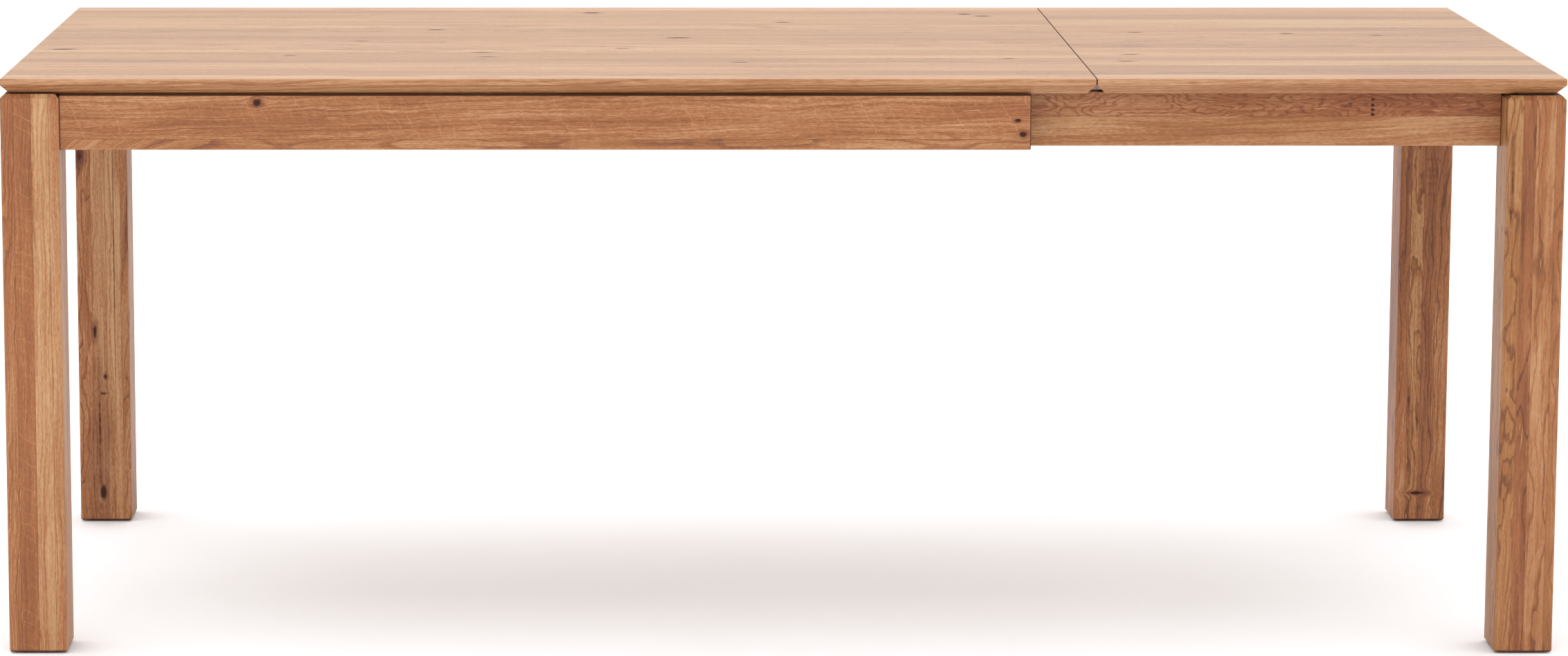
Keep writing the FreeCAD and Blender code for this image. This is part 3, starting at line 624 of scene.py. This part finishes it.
def zinc(name, colour, rolled_along):
    """Zinc plated sheet steel: faint rolling lines and a mottled bloom."""
    s = Shader(name)
    scales = [12.0 if axis == rolled_along else 900.0 for axis in "XYZ"]
    lines = s.noise(s.stretch(s.split(s.place), scales), detail=2.0, roughness=0.6)
    bloom = s.noise(s.place, scale=60.0, detail=3.0, roughness=0.6)
    shade = s.mix(s.times(bloom, 0.5), colour, tuple(0.72 * c for c in colour))
    rough = s.add(0.28, s.times(bloom, 0.2), s.times(lines, 0.1))
    return s.surface(shade, rough, s.bump(lines, 0.05 * MM, 0.5), Metallic=1.0)


def felt():
    s = Shader("brown_felt")
    fuzz = s.noise(s.place, scale=2500.0, detail=3.0, roughness=0.7)
    patches = s.noise(s.place, scale=160.0, detail=2.0, roughness=0.5)
    dark, pale = FELT_COLOURS
    colour = s.ramp(s.add(s.times(fuzz, 0.7), s.times(patches, 0.3)), [(0.25, dark), (0.75, pale)])
    return s.surface(colour, s.add(0.85, s.times(fuzz, 0.1)), s.bump(fuzz, 0.4 * MM), Sheen_Weight=0.4)


def glide_plastic():
    s = Shader("glide_plastic")
    grain = s.noise(s.place, scale=1800.0, detail=2.0, roughness=0.6)
    scuff = s.noise(s.place, scale=90.0, detail=4.0, roughness=0.65)
    dark, pale = PLASTIC_COLOURS
    colour = s.ramp(scuff, [(0.3, dark), (0.8, pale)])
    return s.surface(colour, s.add(0.38, s.times(scuff, 0.25)), s.bump(grain, 0.08 * MM, 0.5))


def beech():
    s = Shader("beech_dowel")
    fibre = s.noise(s.stretch(s.split(s.place), (500.0, 500.0, 500.0)), detail=3.0, roughness=0.6)
    dark, pale = BEECH_COLOURS
    colour = s.ramp(fibre, [(0.3, dark), (0.7, pale)])
    return s.surface(colour, s.add(0.55, s.times(fibre, 0.1)), s.bump(fibre, 0.1 * MM, 0.4))


def other_finishes():
    for nodes, material in ((SHEET_STEEL, zinc("zinc_sheet", ZINC_PLATE, "X")),
                            (STEEL_BARS, zinc("zinc_bar", ZINC_BAR, "Y")),
                            (("leaf_support_pads",), felt()), (DOWELS, beech())):
        for node in nodes:
            dress(node, material)


# ---------------------------------------------------------------- screws, bolts, balls and glides
ROUND_STEPS = 32
SHARP_ANGLE = math.radians(35)

# Profiles are (radius, z) in mm.  A screw's cross recess lies in its face, with an arm's length and
# half width, and goes so deep; its floor is smaller than its mouth.
Screw = namedtuple("Screw", "profile face arm half_width deep")
PAN_SCREW = Screw(((1.6, -1.6), (2.6, -1.5), (3.1, -1.15), (3.35, -0.6), (3.4, 0.0), (1.8, 0.0),
                   (1.8, 10.0), (0.3, 12.0)), -1.6, 1.3, 0.35, 1.1)
FLAT_SCREW = Screw(((3.4, 0.0), (3.4, 0.25), (1.8, 1.5), (1.8, 10.0), (0.3, 12.0)), 0.0, 1.9, 0.4, 1.2)
RECESS_TAPER = 0.55
GLIDE_PROFILE = ((2.2, 0.9), (3.4, 0.8), (4.2, 0.35), (14.6, 0.0), (15.5, 0.3), (15.95, 0.9), (16.0, 2.0))
BOLT_HEAD, BOLT_ACROSS = 5.5 * MM, 13 * MM
BOLT_CROWN, BOLT_SHOULDER = 0.44, 0.82  # shares of its width and height between which it is chamfered
BOLT_RADIUS, BOLT_TIP_RADIUS, BOLT_TIP = 4.0 * MM, 0.5 * MM, 6 * MM
WASHER_HOLE, WASHER_RADIUS, WASHER_THICK = 4.2 * MM, 10 * MM, 2 * MM
WASHER_CHAMFER, WASHER_BEVEL = 0.4 * MM, 0.3 * MM
BALL_RADIUS, BALL_STEPS = 2.2 * MM, 12


def add_ring(mesh, radius, z):
    """A ring of vertices round +Z; the radius may be a function of the angle."""
    size = radius if callable(radius) else lambda angle: radius
    angles = [2 * math.pi * (i + 0.5) / ROUND_STEPS for i in range(ROUND_STEPS)]
    return [mesh.verts.new((size(a) * math.cos(a), size(a) * math.sin(a), z)) for a in angles]


def join_rings(mesh, low, high):
    for i in range(len(low)):
        mesh.faces.new((low[i - 1], low[i], high[i], high[i - 1]))


def turn(mesh, profile):
    """Rings through (radius, z) points, joined up; returns the first and the last ring."""
    rings = [add_ring(mesh, radius, z) for radius, z in profile]
    for low, high in zip(rings, rings[1:]):
        join_rings(mesh, low, high)
    return rings[0], rings[-1]


def in_metres(profile):
    return [(radius * MM, z * MM) for radius, z in profile]


def cross_outline(arm, half_width):
    """Twelve points of a plus sign, anticlockwise."""
    a, w = arm, half_width
    return [(a, -w), (a, w), (w, w), (w, a), (-w, a), (-w, w), (-a, w), (-a, -w), (-w, -w), (-w, -a),
            (w, -a), (w, -w)]


def cross_recess(mesh, rim, z, arm, half_width, deep):
    """Closes a head's rim with a flat face that has a cross-shaped socket in it."""
    outline = cross_outline(arm, half_width)
    top = [mesh.verts.new((x, y, z)) for x, y in outline]
    floor = [mesh.verts.new((RECESS_TAPER * x, RECESS_TAPER * y, z + deep)) for x, y in outline]
    edges = [mesh.edges.new((a, b)) for a, b in zip(top, top[1:] + top[:1])]
    edges += [mesh.edges.get((a, b)) for a, b in zip(rim, rim[1:] + rim[:1])]
    bmesh.ops.triangle_fill(mesh, edges=edges, use_beauty=True)
    join_rings(mesh, top, floor)
    mesh.faces.new(floor)


def screw(mesh, kind):
    """Its shank points up; a pan head lies below z = 0 and a flat one above."""
    rim, tip = turn(mesh, in_metres(kind.profile))
    cross_recess(mesh, rim, kind.face * MM, kind.arm * MM, kind.half_width * MM, kind.deep * MM)
    mesh.faces.new(tip)


def hexagon(across):
    """The radius of a hexagon at each angle."""
    return lambda angle: across / 2 / math.cos((angle + math.pi / 6) % (math.pi / 3) - math.pi / 6)


def lag_bolt(mesh, length):
    """Hexagon head below z = 0, plain shank of a given length above it."""
    crown = add_ring(mesh, BOLT_CROWN * BOLT_ACROSS, -BOLT_HEAD)
    shoulder = add_ring(mesh, hexagon(BOLT_ACROSS), -BOLT_SHOULDER * BOLT_HEAD)
    seat = add_ring(mesh, hexagon(BOLT_ACROSS), 0.0)
    join_rings(mesh, crown, shoulder)
    join_rings(mesh, shoulder, seat)
    neck, tip = turn(mesh, [(BOLT_RADIUS, 0.0), (BOLT_RADIUS, length - BOLT_TIP),
                            (BOLT_TIP_RADIUS, length)])
    join_rings(mesh, seat, neck)
    mesh.faces.new(crown)
    mesh.faces.new(tip)


def washer(mesh):
    flat = WASHER_RADIUS - WASHER_CHAMFER
    profile = [(WASHER_HOLE, 0.0), (flat, 0.0), (WASHER_RADIUS, WASHER_BEVEL),
               (WASHER_RADIUS, WASHER_THICK - WASHER_BEVEL), (flat, WASHER_THICK),
               (WASHER_HOLE, WASHER_THICK)]
    inner, outer = turn(mesh, profile)
    join_rings(mesh, outer, inner)


def ball(mesh):
    """A globe with a speck left open at each pole, because faces that meet there would have no area."""
    profile = [(BALL_RADIUS * math.sin(math.pi * max(i, 0.02) / BALL_STEPS),
                -BALL_RADIUS * math.cos(math.pi * i / BALL_STEPS)) for i in range(BALL_STEPS)]
    turn(mesh, profile + [(BALL_RADIUS * 0.005, BALL_RADIUS)])


def glide(mesh):
    """Plastic disc with a rounded rim, and the nail's head sunk in the middle of its foot."""
    for ring in turn(mesh, in_metres(GLIDE_PROFILE)):
        mesh.faces.new(ring)


def loose_parts(node):
    """The corner points of each separate solid of a node."""
    mesh = bmesh.new()
    mesh.from_mesh(frame["nodes"][node].data)
    bmesh.ops.remove_doubles(mesh, verts=mesh.verts, dist=1e-6)
    mesh.verts.ensure_lookup_table()
    seen, parts = set(), []
    for first in range(len(mesh.verts)):
        if first in seen:
            continue
        seen.add(first)
        queue, part = [first], []
        while queue:
            vertex = mesh.verts[queue.pop()]
            part.append(tuple(vertex.co))
            fresh = [edge.other_vert(vertex).index for edge in vertex.link_edges]
            fresh = [i for i in fresh if i not in seen]
            seen.update(fresh)
            queue += fresh
        parts.append(np.array(part))
    mesh.free()
    return parts


def long_axis(points):
    """The way from a fastener's head to its tip."""
    spread = points - points.mean(axis=0)
    axis = np.linalg.eigh(spread.T @ spread)[1][:, -1]
    along = spread @ axis
    out = np.linalg.norm(spread - np.outer(along, axis), axis=1)
    return -axis if along[out > 0.95 * out.max()].mean() > 0 else axis


def short_axis(points):
    spread = points - points.mean(axis=0)
    return np.linalg.eigh(spread.T @ spread)[1][:, 0]


def upright(points):
    return np.array((0.0, 0.0, 1.0))


def copies_in_place(build, find_axis, node):
    """A mesh with one copy of a built shape for each solid of a node, turned and set like it."""
    pattern, whole = bmesh.new(), bmesh.new()
    build(pattern)
    bmesh.ops.recalc_face_normals(pattern, faces=pattern.faces)
    lowest = min(vertex.co.z for vertex in pattern.verts)
    copy = bpy.data.meshes.new("pattern")
    pattern.to_mesh(copy)
    for points in loose_parts(node):
        axis = find_axis(points)
        middle = (points.min(axis=0) + points.max(axis=0)) / 2
        middle = middle + axis * ((points @ axis).min() - middle @ axis - lowest)
        turned = Vector((0, 0, 1)).rotation_difference(Vector(axis)).to_matrix().to_4x4()
        before = len(whole.verts)
        whole.from_mesh(copy)
        whole.verts.ensure_lookup_table()
        bmesh.ops.transform(whole, matrix=Matrix.Translation(middle) @ turned, verts=whole.verts[before:])
    mesh = bpy.data.meshes.new(node + "_detailed")
    whole.to_mesh(mesh)
    pattern.free()
    whole.free()
    bpy.data.meshes.remove(copy)
    return mesh


def stand_in(node, build, find_axis, material):
    """One detailed piece for a node of small repeated solids, on the same body."""
    mesh = copies_in_place(build, find_axis, node)
    mesh.polygons.foreach_set("use_smooth", [True] * len(mesh.polygons))
    mesh.set_sharp_from_angle(angle=SHARP_ANGLE)
    mesh.materials.append(material)
    piece = bpy.data.objects.new(node + "_detailed", mesh)
    bpy.context.collection.objects.link(piece)
    record = frame["record"]
    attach(piece, next(b for b, nodes in record["behaviour"]["bodies"].items() if node in nodes))
    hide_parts(node)


def small_hardware():
    steel, plated, plastic = mottled_metal("screw_steel"), mottled_metal("bolt_steel"), glide_plastic()
    for node in ("top_angle_screws", "guide_runner_screws"):
        stand_in(node, partial(screw, kind=PAN_SCREW), long_axis, steel)
    for node in ("guide_channel_screws", "top_stiffener_screws", "leaf_stiffener_screws"):
        stand_in(node, partial(screw, kind=FLAT_SCREW), long_axis, steel)
    for side in ("left", "right"):
        points = loose_parts("leg_bolts_" + side)[0]
        along = points @ long_axis(points)
        shank = along.max() - along.min() - BOLT_HEAD
        stand_in("leg_bolts_" + side, partial(lag_bolt, length=shank), long_axis, plated)
        stand_in("leg_washers_" + side, washer, short_axis, plated)
        stand_in("foot_glides_" + side, glide, upright, plastic)
    stand_in("guide_balls", ball, upright, mottled_metal("ball_steel"))


# ---------------------------------------------------------------- studio
def studio_floor():
    bpy.ops.mesh.primitive_plane_add(size=FLOOR_SIZE)
    floor = bpy.context.object
    floor.name = "studio_floor"
    s = Shader("pale_floor")
    dark, pale = FLOOR_COLOURS
    colour = s.ramp(s.noise(s.place, scale=3.0, detail=3.0, roughness=0.5), [(0.3, dark), (0.7, pale)])
    floor.data.materials.append(s.surface(colour, 0.9))


def soft_light(name, place, aim, size, watts):
    light = bpy.data.lights.new(name, "AREA")
    light.shape, light.size, light.size_y = "RECTANGLE", size[0], size[1]
    light.energy = watts
    lamp = bpy.data.objects.new(name, light)
    lamp.location = place
    lamp.rotation_euler = (Vector(aim) - Vector(place)).to_track_quat("-Z", "Y").to_euler()
    bpy.context.collection.objects.link(lamp)


def studio():
    studio_floor()
    for light in LIGHTS:
        soft_light(*light)
    world = bpy.data.worlds.new("studio_world")
    world.use_nodes = True
    background = world.node_tree.nodes["Background"]
    background.inputs[0].default_value = WORLD_COLOUR
    background.inputs[1].default_value = WORLD_STRENGTH
    bpy.context.scene.world = world
    bpy.context.scene.view_settings.view_transform = "Standard"


def camera():
    data = bpy.data.cameras.new("camera")
    data.lens = CAMERA_LENS
    data.shift_x, data.shift_y = CAMERA_SHIFT
    eye = bpy.data.objects.new("camera", data)
    eye.location = CAMERA_PLACE
    eye.rotation_euler = (math.radians(90.0 - CAMERA_PITCH), 0.0, 0.0)
    bpy.context.collection.objects.link(eye)
    bpy.context.scene.camera = eye


top_and_leaf()
legs()
aprons_and_rails()
corner_blocks()
other_finishes()
small_hardware()
studio()
camera()
